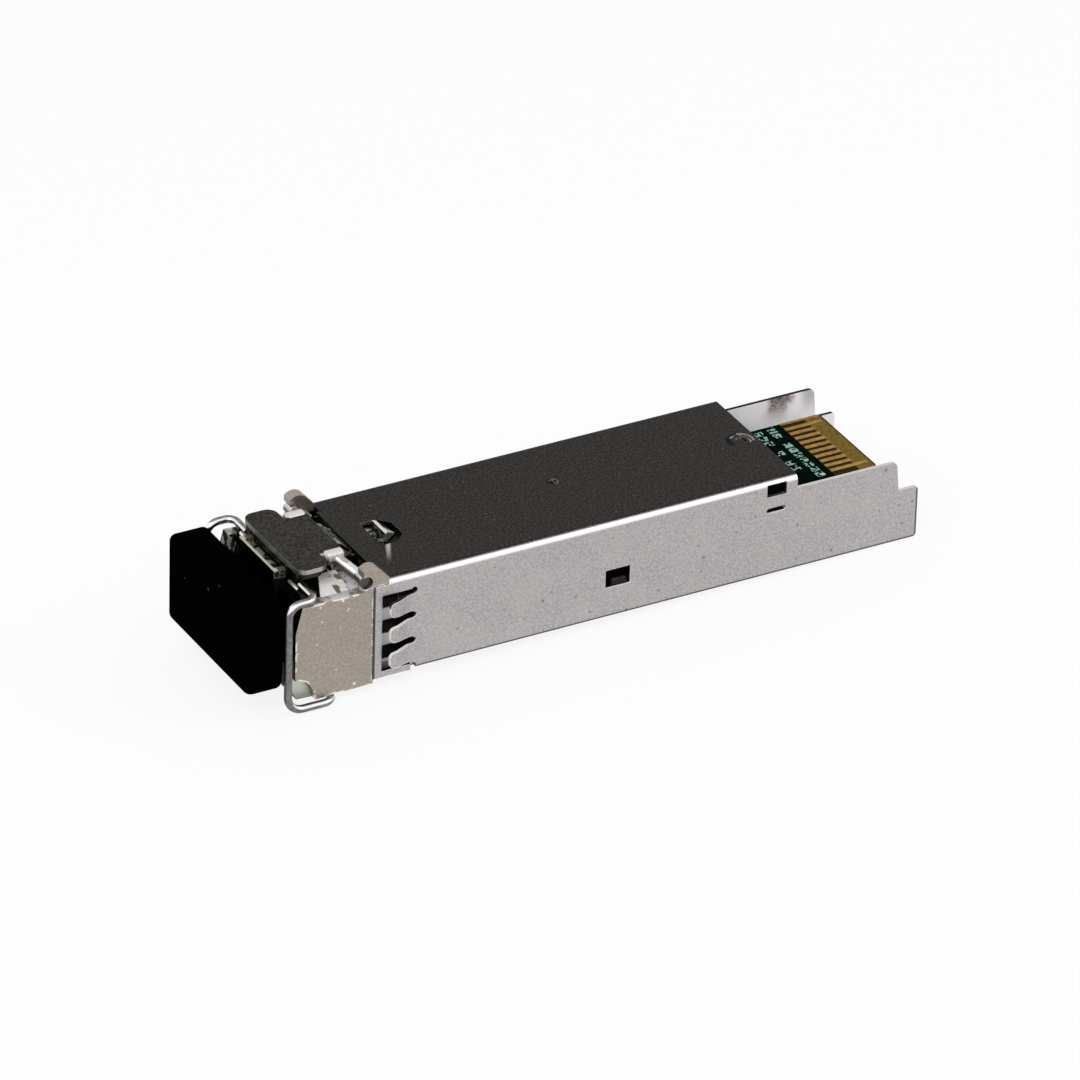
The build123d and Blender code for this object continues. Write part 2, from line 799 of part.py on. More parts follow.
def ceramic_sleeve(y):
    """A ceramic sleeve with the bore for the fibre ferrule."""
    rod(sleeve_front, barrel_bore_end, y, port_axis_height, barrel_bore_radius - 0.01)
    rod(sleeve_front - 1, ferrule_bore_end, y, port_axis_height, ferrule_bore_radius, Mode.SUBTRACT)


def optical_can(y):
    """A round metal can with a wider header at its rear."""
    rod(shell_front + flange_thickness, can_rear, y, port_axis_height, can_radius)
    rod(can_rear - can_rim, can_rear, y, port_axis_height, can_rim_radius)


def flexible_circuit(y):
    """A thin strip from the can's rear face, bent over the board's front edge."""
    outer = [(can_rear + flex_sheet, flex_low)]
    inner = [(can_rear, flex_low)]
    bend_z = board_top + flex_sheet - flex_bend - flex_sheet
    for step in range(6):
        angle = pi / 2 * step / 5
        centre_x = can_rear + flex_sheet + flex_bend
        inner.append((centre_x - (flex_bend + flex_sheet) * cos(angle), bend_z + (flex_bend + flex_sheet) * sin(angle)))
        outer.append((centre_x - flex_bend * cos(angle), bend_z + flex_bend * sin(angle)))
    inner.append((flex_end, board_top + flex_sheet))
    outer.append((flex_end, board_top))
    side_profile(inner + outer[::-1], y - flex_half, y + flex_half)


transmit_y = -port_pitch / 2
receive_y = port_pitch / 2

with BuildPart() as transmitter_barrel:
    optical_barrel(transmit_y)

with BuildPart() as receiver_barrel:
    optical_barrel(receive_y)

with BuildPart() as transmitter_sleeve:
    ceramic_sleeve(transmit_y)

with BuildPart() as receiver_sleeve:
    ceramic_sleeve(receive_y)

with BuildPart() as transmitter_can:
    optical_can(transmit_y)

with BuildPart() as receiver_can:
    optical_can(receive_y)

with BuildPart() as transmitter_flex:
    flexible_circuit(transmit_y)

with BuildPart() as receiver_flex:
    flexible_circuit(receive_y)

# A bent strap lies over both cans and grips the sides of the nose's cradle.
with BuildPart() as optics_clamp:
    strap_low = port_axis_height + can_rim_radius + 0.01
    strap_half = spigot_half + clamp_sheet + seat_gap
    strap_end = port_axis_height + clamp_leg_rise
    with BuildSketch(Plane.YZ.offset(clamp_front)):
        with BuildLine():
            Polyline(
                (0, rib_top),
                (clamp_rib_half, rib_top),
                (clamp_rise_half, strap_low),
                (strap_half - clamp_sheet, strap_low),
                (strap_half - clamp_sheet, strap_end),
                (strap_half, strap_end),
                (strap_half, strap_low + clamp_sheet),
                (clamp_rise_half - clamp_lean, strap_low + clamp_sheet),
                (clamp_rib_half - clamp_lean, rib_top + clamp_sheet),
                (0, rib_top + clamp_sheet),
                close=True,
            )
        make_face()
        mirror(about=Plane.YZ)
    extrude(amount=clamp_rear - clamp_front)


def on_board(size, place):
    """A small block standing on the board."""
    x, y = place
    length, width, height = size
    block(x - length / 2, x + length / 2, y - width / 2, y + width / 2, board_top, board_top + height)


with BuildPart() as laser_driver:
    on_board(driver_size, driver_place)

with BuildPart() as receive_amplifier:
    on_board(amplifier_size, amplifier_place)

with BuildPart() as memory_controller:
    on_board(memory_size, memory_place)

with BuildPart() as capacitors:
    for y in capacitor_front_rows:
        on_board(capacitor_size, (capacitor_front_x, y))
    for y in capacitor_rear_rows:
        on_board(capacitor_size, (capacitor_rear_x, y))

with BuildPart() as resistors:
    for y in resistor_front_rows:
        on_board(resistor_size, (resistor_front_x, y))
    for y in resistor_rear_rows:
        on_board(resistor_size, (resistor_rear_x, y))

with BuildPart() as inductors:
    for place in inductor_places:
        on_board(inductor_size, place)

finished = {
    "nose_housing": nose_housing,
    "upper_shell": upper_shell,
    "base_cover": base_cover,
    "bail": bail,
    "latch_rocker": latch_rocker,
    "latch_spring": latch_spring,
    "dust_plug": dust_plug,
    "circuit_board": circuit_board,
    "contact_pads": contact_pads,
    "transmitter_barrel": transmitter_barrel,
    "receiver_barrel": receiver_barrel,
    "transmitter_sleeve": transmitter_sleeve,
    "receiver_sleeve": receiver_sleeve,
    "transmitter_can": transmitter_can,
    "receiver_can": receiver_can,
    "optics_clamp": optics_clamp,
    "transmitter_flex": transmitter_flex,
    "receiver_flex": receiver_flex,
    "laser_driver": laser_driver,
    "receive_amplifier": receive_amplifier,
    "memory_controller": memory_controller,
    "capacitors": capacitors,
    "resistors": resistors,
    "inductors": inductors,
}
for node_name, piece in finished.items():
    piece.part.label = node_name
    export_step(piece.part, f"parts/{node_name}.step")
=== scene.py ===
import math

import bpy
from mathutils import Matrix, Vector


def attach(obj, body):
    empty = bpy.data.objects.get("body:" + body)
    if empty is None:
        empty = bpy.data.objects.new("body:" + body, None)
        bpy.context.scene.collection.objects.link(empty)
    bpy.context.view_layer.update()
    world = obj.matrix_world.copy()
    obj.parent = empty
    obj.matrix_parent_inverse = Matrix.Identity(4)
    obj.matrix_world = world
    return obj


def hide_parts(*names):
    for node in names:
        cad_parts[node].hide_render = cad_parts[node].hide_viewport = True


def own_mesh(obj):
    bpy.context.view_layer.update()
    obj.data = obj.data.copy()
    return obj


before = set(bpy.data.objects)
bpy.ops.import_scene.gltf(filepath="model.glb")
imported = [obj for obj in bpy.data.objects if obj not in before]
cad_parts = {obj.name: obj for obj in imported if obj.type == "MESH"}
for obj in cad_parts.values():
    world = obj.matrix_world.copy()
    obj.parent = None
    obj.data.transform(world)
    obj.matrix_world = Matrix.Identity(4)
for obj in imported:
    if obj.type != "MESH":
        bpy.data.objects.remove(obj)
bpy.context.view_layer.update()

# The upper shell is one sheet of satin nickel plated steel, folded over the top and both sides. Its top is
# finely speckled and painted dark for the dark surroundings it mirrors, its sides are light and cool, and the
# fold between them carries a painted highlight.
deck_end = -0.0114
top_height = 0.00845
dimple_x, dimple_y, dimple_ring = -0.029, 0.0009, 0.00048
mark_x = -0.01255
wall_inner, wall_middle = 0.0062, 0.00655
nose_seam = -0.04864
finger_front, finger_rear, finger_high = -0.04775, -0.0454, 0.0068
streak_x, streak_y = -0.0448, -0.00135
toward_x, toward_y = 0.44, 0.898


class Socket:
    """A shader socket that takes part in sums, so that maths on values reads as written."""

    def __init__(self, tree, socket=None):
        self.tree = tree
        self.socket = socket

    def node(self, kind, settings=None, inputs=None, output=0):
        """A new node with its settings set first, then its sockets given values or links."""
        made = self.tree.nodes.new(kind)
        for name, value in (settings or {}).items():
            setattr(made, name, value)
        for name, value in (inputs or {}).items():
            if isinstance(value, Socket):
                self.tree.links.new(value.socket, made.inputs[name])
            else:
                made.inputs[name].default_value = value
        return Socket(self.tree, made.outputs[output])

    def maths(self, operation, first, second=0.0, clamp=False):
        settings = {"operation": operation, "use_clamp": clamp}
        return self.node("ShaderNodeMath", settings, {0: first, 1: second})

    def __add__(self, other):
        return self.maths("ADD", self, other)

    def __radd__(self, other):
        return self.maths("ADD", other, self)

    def __sub__(self, other):
        return self.maths("SUBTRACT", self, other)

    def __rsub__(self, other):
        return self.maths("SUBTRACT", other, self)

    def __mul__(self, other):
        return self.maths("MULTIPLY", self, other)

    def __rmul__(self, other):
        return self.maths("MULTIPLY", other, self)

    def __truediv__(self, other):
        return self.maths("DIVIDE", self, other)

    def __gt__(self, other):
        return self.maths("GREATER_THAN", self, other)

    def __lt__(self, other):
        return self.maths("LESS_THAN", self, other)

    def __abs__(self):
        return self.maths("ABSOLUTE", self)

    def capped(self):
        """No more than 1, for masks that were added up."""
        return self.maths("MINIMUM", self, 1.0)

    def larger(self, other):
        return self.maths("MAXIMUM", self, other)

    def floored(self):
        return self.maths("FLOOR", self)

    def modulo(self, length):
        return self.maths("FLOORED_MODULO", self, length)

    def root(self):
        return self.maths("SQRT", self)

    def step(self, low, high):
        """0 below low, 1 above high, and smooth between them."""
        inputs = {"Value": self, "From Min": low, "From Max": high}
        return self.node("ShaderNodeMapRange", {"interpolation_type": "SMOOTHSTEP"}, inputs)

    def between(self, low, high):
        return (self > low) * (self < high)

    def mix(self, first, second):
        """The first colour where this value is 0, the second where it is 1."""
        both = [colour if isinstance(colour, Socket) else (*colour, 1) for colour in (first, second)]
        return self.node("ShaderNodeMix", {"data_type": "RGBA"}, {"Factor": self, 6: both[0], 7: both[1]}, 2)

    def split(self):
        """The X, Y and Z of a place or a direction."""
        first = self.node("ShaderNodeSeparateXYZ", {}, {0: self})
        return [Socket(self.tree, output) for output in first.socket.node.outputs]


class Paint:
    """A procedural material in its piece's own coordinates, which are in metres."""

    def __init__(self, name, roughness, metallic=1.0, specular=0.5, tint=1.0):
        self.material = bpy.data.materials.new(name)
        self.material.use_nodes = True
        self.tree = self.material.node_tree
        self.shader = self.tree.nodes["Principled BSDF"]
        self.shader.inputs["Roughness"].default_value = roughness
        self.shader.inputs["Metallic"].default_value = metallic
        self.shader.inputs["Specular IOR Level"].default_value = specular
        self.shader.inputs["Specular Tint"].default_value = (tint, tint, tint, 1)
        self.start = Socket(self.tree)
        self.where = self.start.node("ShaderNodeTexCoord", {}, {}, "Object")
        self.facing = self.start.node("ShaderNodeTexCoord", {}, {}, "Normal")
        self.x, self.y, self.z = self.where.split()
        self.face_x, self.face_y, self.face_z = self.facing.split()

    def noise(self, scale, detail=3.0, distortion=0.0):
        inputs = {"Vector": self.where, "Scale": scale, "Detail": detail, "Distortion": distortion}
        return self.start.node("ShaderNodeTexNoise", {}, inputs)

    def dots(self, scale, size):
        """1 inside round dots of a size that is a part of their spacing."""
        inputs = {"Vector": self.where, "Scale": scale}
        cells = self.start.node("ShaderNodeTexVoronoi", {}, inputs, "Distance")
        return 1 - cells.step(size, size * 2.2)

    def span(self, x, y):
        """The distance from an upright line through x and y."""
        away_x, away_y = self.x - x, self.y - y
        return (away_x * away_x + away_y * away_y).root()

    def edges(self, radius):
        """1 on outer and inner edges, within about a radius of them."""
        rounded = self.start.node("ShaderNodeBevel", {"samples": 8}, {"Radius": radius})
        true = self.start.node("ShaderNodeNewGeometry", {}, {}, "Normal")
        settings = {"operation": "DOT_PRODUCT"}
        turn = self.start.node("ShaderNodeVectorMath", settings, {0: rounded, 1: true}, "Value")
        return 1 - turn.step(0.90, 0.998)

    def feed(self, name, value):
        self.tree.links.new(value.socket, self.shader.inputs[name])

    def bump(self, height, strength, distance, radius=0.00004):
        """Rounds the edges a little and lays a fine relief over them."""
        rounded = self.start.node("ShaderNodeBevel", {"samples": 4}, {"Radius": radius})
        inputs = {"Strength": strength, "Distance": distance, "Height": height, "Normal": rounded}
        self.feed("Normal", self.start.node("ShaderNodeBump", {}, inputs))

    def dress(self, *node_names):
        for node_name in node_names:
            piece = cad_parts[node_name]
            piece.data.materials.clear()
            piece.data.materials.append(self.material)


shell = Paint("shell_sheet", 0.36, tint=0.7)
fine = shell.noise(5200)
broad = shell.noise(320, 4.0)
blotches = shell.noise(420, 3.0)
top = shell.face_z.step(0.72, 0.97)
fold_highlight = shell.face_z.step(0.10, 0.42) * (1 - shell.face_z.step(0.62, 0.9)) * (shell.z > 0.0078)
side_colour = fine.step(0.3, 0.7).mix((0.37, 0.348, 0.35), (0.52, 0.49, 0.494))
side_colour = (broad.step(0.4, 0.75) * 0.35).mix(side_colour, (0.52, 0.49, 0.484))
pits = shell.dots(1000, 0.10) * shell.noise(1500).step(0.54, 0.6)
side_colour = (pits * 0.6).mix(side_colour, (0.10, 0.09, 0.085))
# Painted shade: the top's colour is dark, for the dark surroundings that its metal mirrors.
top_colour = fine.step(0.3, 0.7).mix((0.0100, 0.0092, 0.0082), (0.0480, 0.0455, 0.0415))
top_colour = (shell.dots(1500, 0.07) * fine.step(0.5, 0.6) * 0.5).mix(top_colour, (0.20, 0.19, 0.175))
# The walls' upward faces at the open rear are painted light on the near side and painted in shade on the far
# side.
wall_tops = (shell.z < top_height - 0.00025) * (shell.x > deck_end)
wall_top_light_and_shade = (shell.y < 0).mix((0.015, 0.014, 0.014), (0.62, 0.60, 0.58))
top_colour = wall_tops.mix(top_colour, wall_top_light_and_shade)
# The dimple is painted in shade on its front half and painted light on its rear half.
dimple = shell.span(dimple_x, dimple_y) < dimple_ring
dimple_light_and_shade = (shell.x - dimple_x > 0.0001).mix((0.002, 0.002, 0.002), (0.16, 0.155, 0.15))
top_colour = (dimple * 0.8).mix(top_colour, dimple_light_and_shade)
# The pressed mark near the rear is painted with patches of light and shadow in its groove, and beside it with
# a painted shadow on its front side and painted light on its rear side.
mark_span = shell.span(mark_x, 0.0)
in_mark = (mark_span < 0.00105) * shell.z.between(top_height - 0.00025, top_height - 0.00001)
top_colour = (in_mark * (fine > 0.47)).mix(top_colour, (0.55, 0.53, 0.50))
top_colour = (in_mark * (fine < 0.44)).mix(top_colour, (0.004, 0.004, 0.004))
beside_mark = mark_span.between(0.00070, 0.00116) * (shell.y > -0.0004)
beside_mark = beside_mark * (shell.z > top_height - 0.00001)
beside_mark_light_and_shade = (shell.x - mark_x > 0.0002).mix((0.003, 0.003, 0.003), (0.26, 0.25, 0.24))
top_colour = (beside_mark * 0.9).mix(top_colour, beside_mark_light_and_shade)
colour = top.mix(side_colour, top_colour)
# A painted highlight runs along the fold.
colour = fold_highlight.mix(colour, (0.95, 0.93, 0.92))
# The walls' inner faces are painted in deep shade inside the body. Where they stand open at the rear they are
# painted light and blotchy, with a darker band across them and painted shade near their rear end and top.
inside = (shell.y * shell.face_y) < -0.003
open_rear = shell.x.step(-0.0113, -0.0108)
rear_light_and_band = blotches.step(0.28, 0.46).mix((0.90, 0.86, 0.86), (1.0, 0.98, 0.98))
band_x = shell.x + blotches * 0.003
band = band_x.step(-0.0052, -0.0043) * (1 - band_x.step(-0.0031, -0.0024)) * shell.z.step(0.0046, 0.0070)
rear_light_and_band = band.mix(rear_light_and_band, fine.step(0.35, 0.65).mix((0.13, 0.10, 0.095), (0.36, 0.31, 0.30)))
end_shade = shell.x.step(-0.0036, -0.0026) * shell.z.step(0.0045, 0.0070)
rear_light_and_band = (end_shade * 0.6).mix(rear_light_and_band, (0.22, 0.21, 0.21))
colour = inside.mix(colour, open_rear.mix((0.008, 0.008, 0.008), rear_light_and_band))
# The cut edges of the windows and slots carry painted light on their outer half, low down, where they face up
# or toward the nose, and painted shade elsewhere.
cut = (abs(shell.face_y) < 0.5) * (abs(shell.y) > wall_inner)
cut = cut * shell.z.between(0.0004, 0.0078) * (shell.x < deck_end - 0.0001)
cut_light = ((shell.face_z > 0.3) + (shell.face_x < -0.3)).capped()
cut_light = cut_light * (abs(shell.y) > wall_middle) * (shell.z < 0.0062)
colour = cut.mix(colour, cut_light.mix((0.02, 0.02, 0.02), (0.95, 0.92, 0.92)))
# The spring fingers carry a painted highlight along their edges near the tips.
fingers = shell.x.between(finger_front, finger_rear) * (shell.z < finger_high) * (abs(shell.face_y) > 0.4)
finger_rim_highlight = fingers * shell.edges(0.00012) * (shell.x < -0.0458)
colour = finger_rim_highlight.mix(colour, (0.88, 0.84, 0.82))
shell.feed("Metallic", 1 - (inside * open_rear).larger(cut))
# Faces that look down are painted in shade.
colour = (shell.face_z < -0.5).mix(colour, (0.01, 0.01, 0.01))
# The top's front edge, facing the nose, is painted in shade.
front_edge_shade = (shell.face_x < -0.6) * (shell.z > 0.0079)
colour = front_edge_shade.mix(colour, (0.03, 0.03, 0.028))
# Thin dark lines run along its lowest and rearmost edges, and where it meets the nose.
low_edge = (1 - shell.z.step(0.00006, 0.00020)) * (shell.x > -0.0452)
outline = (low_edge + shell.x.step(-0.00020, -0.00008) + (shell.x < nose_seam)).capped()
outline = outline * (abs(shell.face_y) > 0.5) * (1 - inside)
colour = (outline * 0.85).mix(colour, (0.03, 0.028, 0.027))
# A short light streak is painted over the plate as the boss's reflection.
along = (streak_x - shell.x) * toward_x + (streak_y - shell.y) * toward_y
across = abs((shell.x - streak_x) * toward_y - (shell.y - streak_y) * toward_x)
boss_reflection = (1 - across.step(0.00004, 0.00028)) * along.step(-0.0004, 0.0001) * (1 - along.step(0.0005, 0.0036))
colour = (boss_reflection * top * 0.75).mix(colour, (0.62, 0.60, 0.57))
shell.feed("Base Color", colour)
shell.feed("Roughness", 0.3 + fine * 0.16)
shell.bump(fine, 0.12, 0.00002)
shell.dress("upper_shell")

# The label side cover is the same sheet, left plain, and light all over. Its flanges are painted in shade
# where the shell's walls cover them, and its folds have a thin dark line.
walls_front, walls_rear, flange_foot = -0.0449, -0.0112, 0.0004
cover = Paint("cover_sheet", 0.38, tint=0.7)
fine = cover.noise(5200)
broad = cover.noise(300, 4.0)
colour = fine.step(0.3, 0.7).mix((0.36, 0.345, 0.345), (0.47, 0.45, 0.45))
colour = (broad.step(0.42, 0.75) * 0.35).mix(colour, (0.51, 0.49, 0.48))
covered_shade = (abs(cover.face_y) > 0.5) * cover.x.between(walls_front, walls_rear) * (cover.z > flange_foot)
colour = covered_shade.mix(colour, (0.02, 0.019, 0.018))
outline = (1 - cover.z.step(0.00005, 0.00016)) * (abs(cover.face_y) > 0.5)
colour = (outline * 0.8).mix(colour, (0.03, 0.028, 0.027))
cover.feed("Base Color", colour)
cover.feed("Roughness", 0.32 + fine * 0.16)
cover.bump(fine, 0.12, 0.00002)
cover.dress("base_cover")

# The nose is a zinc casting with a warmer, slightly grainy nickel plating, and small bright specks of wear.
# Its deck between the walls is painted light, with the latch's painted shadow, and its front face and the
# deep places under the latch are painted in shade.
seam_front, seam_rear = -0.04886, -0.04875
block_front, block_edge = -0.0544, -0.05518
deck_half, ledge_half = 0.00577, 0.0058
far_lug = 0.0045
finger_pitch, first_slot = 0.00227, 0.00115
nose = Paint("nose_casting", 0.42, tint=0.7)
fine = nose.noise(6000)
pits = nose.noise(1300, 5.0)
off_middle = abs(nose.y)
up = nose.face_z.step(0.6, 0.9)
worn = nose.dots(900, 0.08) * pits.step(0.46, 0.54)
colour = fine.step(0.3, 0.7).mix((0.315, 0.282, 0.247), (0.415, 0.372, 0.328))
colour = (worn * 0.9).mix(colour, (0.85, 0.82, 0.78))
# Bright patches along its outer edges, low down, are partly wear and partly painted highlight.
edge_wear_and_highlight = nose.edges(0.00034) * pits.step(0.49, 0.52) * (off_middle > ledge_half) * (nose.z < 0.0082)
colour = edge_wear_and_highlight.mix(colour, (1.0, 0.97, 0.93))
seam = nose.x.between(seam_front, seam_rear) * (abs(nose.face_y) > 0.6) * (nose.z < 0.0079)
colour = seam.mix(colour, (0.02, 0.019, 0.018))
# The deck is painted light behind a slanting line and in the latch's painted shadow in front of it; its faces
# that don't look up are painted in shade.
deck = (off_middle < deck_half) * nose.z.between(0.0066, 0.0086) * (nose.x < -0.0488)
lit = (nose.x + off_middle * 0.43).step(-0.05052, -0.05040)
deck_up = fine.step(0.3, 0.7).mix((0.80, 0.77, 0.75), (1.0, 0.98, 0.96))
deck_up = (pits.step(0.52, 0.6) * (nose.x > -0.0513)).mix(deck_up, (0.16, 0.15, 0.10))
deck_colour = up.mix((0.035, 0.033, 0.030), lit.mix((0.02, 0.018, 0.016), deck_up))
colour = deck.mix(colour, deck_colour)
# The walls' upward top edges carry patches of painted light.
rim = up * nose.z.between(0.0077, 0.0080) * (off_middle > 0.0057)
colour = (rim * pits.step(0.40, 0.52)).mix(colour, (0.80, 0.77, 0.73))
trough = nose.z.between(0.0086, 0.0092) * (nose.x < block_front)
streaks = nose.noise(900, 4.0, 1.5)
trough_colour = streaks.step(0.38, 0.50).mix((0.022, 0.023, 0.016), (0.40, 0.41, 0.33))
colour = trough.mix(colour, trough_colour)
lip = (nose.z > 0.00925) * (nose.x < block_front)
lip_colour = (nose.x < block_edge).mix((0.10, 0.10, 0.075), (0.48, 0.48, 0.40))
colour = lip.mix(colour, lip_colour)
# Its front face is painted in deep shade, with painted glints high on the far lug.
front = (nose.face_x < -0.5) * (nose.x < -0.0540)
glint = pits.step(0.50, 0.56) * (nose.z > 0.0068) * (nose.y > far_lug) * 0.6
colour = front.mix(colour, glint.mix((0.005, 0.005, 0.005), (0.55, 0.52, 0.50)))
shaded = (nose.y > far_lug) * (nose.face_y < -0.5) * (nose.x < -0.0535)
colour = shaded.mix(colour, (0.02, 0.019, 0.018))
# Behind the shell's spring fingers it is painted light and dull, apart from a painted shadow beside each slot
# and further back.
behind = (nose.x > -0.04878) * (nose.z < 0.0081)
beside = (nose.z - first_slot).modulo(finger_pitch) / finger_pitch
shadow = ((1 - beside.step(0.28, 0.36)) + beside.step(0.74, 0.82) + (nose.x > -0.0464)).capped()
colour = behind.mix(colour, shadow.mix((0.95, 0.92, 0.91), (0.015, 0.014, 0.013)))
dull = deck * lit * up + behind * (1 - shadow)
nose.feed("Metallic", 1 - dull.capped())
# The low facet beside the bail's foot is painted light, with dark lines along its edges.
foot = off_middle.between(0.0060, 0.0062) * (nose.z < 0.0016)
colour = foot.mix(colour, nose.edges(0.00014).mix((0.58, 0.58, 0.54), (0.05, 0.05, 0.045)))
nose.feed("Base Color", colour)
nose.feed("Roughness", 0.34 + pits * 0.2)
nose.bump(fine + pits, 0.2, 0.00003, 0.00007)
nose.dress("nose_housing")

# The rocking latch has a finely speckled top face, painted dark for the dark surroundings it mirrors, with a
# light rim. Its knuckles and round arms carry painted light on their upper faces and painted shade below, and
# the boss that shows in the shell's opening is painted light on its near side and top.
plate_low, plate_high = 0.00945, 0.0099
plate_rear = -0.0516
arm_half = 0.0019
boss_front, boss_top = -0.04495, 0.00892
latch = Paint("latch_plate", 0.36, tint=0.7)
fine = latch.noise(5200)
marks = latch.noise(1900, 4.0)
off_middle = abs(latch.y)
rim_colour = fine.step(0.3, 0.7).mix((0.36, 0.355, 0.32), (0.47, 0.46, 0.42))
# Painted shade: the top is dark for the dark surroundings its metal mirrors.
top_colour = fine.step(0.3, 0.7).mix((0.0120, 0.0112, 0.0100), (0.0560, 0.0535, 0.0485))
top_colour = (latch.dots(1700, 0.07) * fine.step(0.48, 0.58) * 0.5).mix(top_colour, (0.22, 0.21, 0.195))
top = latch.face_z.step(0.85, 0.98) * latch.z.between(0.0098, 0.00993)
colour = top.mix(rim_colour, top_colour)
# The plate's underside at the front is painted in shade.
under = (latch.z < plate_low) * (latch.x < plate_rear)
colour = under.mix(colour, (0.05, 0.046, 0.04))
web = (off_middle < arm_half) * latch.x.between(-0.04972, -0.0462)
web_colour = marks.step(0.50, 0.58).mix((0.014, 0.013, 0.012), (0.35, 0.35, 0.28))
colour = web.mix(colour, web_colour)
shown = (off_middle < arm_half) * (latch.x > -0.0462)
shown_colour = marks.step(0.47, 0.56).mix((0.03, 0.03, 0.024), (0.42, 0.42, 0.36))
shown_colour = (latch.x > -0.0449).mix(shown_colour, (0.012, 0.012, 0.011))
colour = shown.mix(colour, shown_colour)
# The boss is painted light on its near side and top.
boss = (latch.z > 0.00818) * (latch.x > boss_front) * (off_middle < 0.0013)
near = (latch.y < -0.0001) * (latch.face_x > -0.5)
colour = (boss * near).mix(colour, (0.92, 0.91, 0.90))
colour = (boss * (latch.z > boss_top)).mix(colour, (0.70, 0.68, 0.66))
# The knuckles and arms are painted light where they face up and painted in shade elsewhere.
past_plate = ((latch.z > plate_high) + (latch.z < plate_low)).capped()
arms = (off_middle > 0.0026) * (latch.x > -0.05145) * past_plate
arm_light_and_shade = latch.face_z.step(0.15, 0.75).mix((0.16, 0.15, 0.145), (0.66, 0.63, 0.61))
colour = arms.mix(colour, arm_light_and_shade)
stub_end = (abs(latch.face_y) > 0.7) * (off_middle > 0.0058)
colour = stub_end.mix(colour, (0.09, 0.085, 0.08))
latch.feed("Base Color", colour)
latch.feed("Roughness", 0.28 + fine * 0.16)
latch.bump(fine, 0.12, 0.00002, 0.00006)
latch.dress("latch_rocker")

# The bail is one bent steel wire, drawn bright. Its two ends lie in the nose's lugs and are cranked, and
# its crossbar passes under the nose.
wire_radius = 0.000325
bail_x, bail_z = -0.054, 0.0085
leg_x, leg_y = -0.05633, 0.0070
bar_x, bar_z = -0.05215, -0.00095
axle_inner = 0.0045
crank_offset = 0.00028
crank_inner, crank_outer = 0.0033, 0.00485
near_half = [
    (Vector((bail_x, -axle_inner, bail_z)), 0),
    (Vector((bail_x, -leg_y, bail_z)), 0.0008),
    (Vector((leg_x, -leg_y, bail_z)), 0.00105),
    (Vector((leg_x, -leg_y, bar_z)), 0.0013),
    (Vector((bar_x, -leg_y, bar_z)), 0.0011),
]
far_half = [(Vector((place.x, -place.y, place.z)), bend) for place, bend in reversed(near_half)]


def bent_path(corners, steps):
    """The corners with each bend turned into an arc of its own radius."""
    path = []
    for number, (corner, bend) in enumerate(corners):
        if bend == 0:
            path.append(corner)
            continue
        before = (corners[number - 1][0] - corner).normalized()
        after = (corners[number + 1][0] - corner).normalized()
        centre = corner + (before + after) * bend
        for step in range(steps + 1):
            turn = math.pi / 2 * step / steps
            path.append(centre - after * bend * math.cos(turn) - before * bend * math.sin(turn))
    return path


def wire(name, path):
    """A round wire along a path, as a mesh with closed ends."""
    curve = bpy.data.curves.new(name, "CURVE")
    curve.dimensions = "3D"
    curve.bevel_depth = wire_radius
    curve.bevel_resolution = 6
    curve.use_fill_caps = True
    line = curve.splines.new("POLY")
    line.points.add(len(path) - 1)
    for point, place in zip(line.points, path):
        point.co = (*place, 1)
    made = bpy.data.objects.new(name, curve)
    bpy.context.scene.collection.objects.link(made)
    bpy.ops.object.select_all(action="DESELECT")
    bpy.context.view_layer.objects.active = made
    made.select_set(True)
    bpy.ops.object.convert(target="MESH")
    bpy.ops.object.shade_smooth_by_angle(angle=math.radians(50))
    return bpy.context.object


bail = wire("bail_wire", bent_path(near_half + far_half, 14))
cranks = []
for side in (-1, 1):
    crank_x, crank_z = bail_x - crank_offset, bail_z - crank_offset
    ends = [Vector((crank_x, side * crank_inner, crank_z)), Vector((crank_x, side * crank_outer, crank_z))]
    cranks.append(wire("crank", ends))
bpy.ops.object.select_all(action="DESELECT")
for crank in cranks:
    crank.select_set(True)
bail.select_set(True)
bpy.context.view_layer.objects.active = bail
bpy.ops.object.join()
# The wire's colour carries painted reflections: light on its upper faces, and dark on its sides toward the
# nose's front and on its underside.
drawn = Paint("bail_steel", 0.24)
fine = drawn.noise(2600)
wire_colour = fine.step(0.35, 0.7).mix((0.15, 0.145, 0.14), (0.25, 0.24, 0.235))
upper_highlight = drawn.face_z.step(0.22, 0.42) * (1 - drawn.face_z.step(0.70, 0.92))
wire_colour = upper_highlight.mix(wire_colour, (0.90, 0.87, 0.86))
straight_on = (1 - abs(drawn.face_y).step(0.10, 0.30)) * (drawn.face_x < 0)
front_side_shade = ((1 - drawn.face_x.step(-0.92, -0.62)) + straight_on).capped()
front_side_shade = front_side_shade * (1 - abs(drawn.face_z).step(0.1, 0.4))
wire_colour = (front_side_shade * 0.8).mix(wire_colour, (0.035, 0.034, 0.034))
underside_shade = 1 - drawn.face_z.step(-0.75, -0.30)
wire_colour = underside_shade.mix(wire_colour, (0.05, 0.048, 0.047))
drawn.feed("Base Color", wire_colour)
drawn.feed("Roughness", 0.16 + fine * 0.14)
bail.data.materials.append(drawn.material)
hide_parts("bail")
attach(bail, "bail")
drawn.dress("bail")

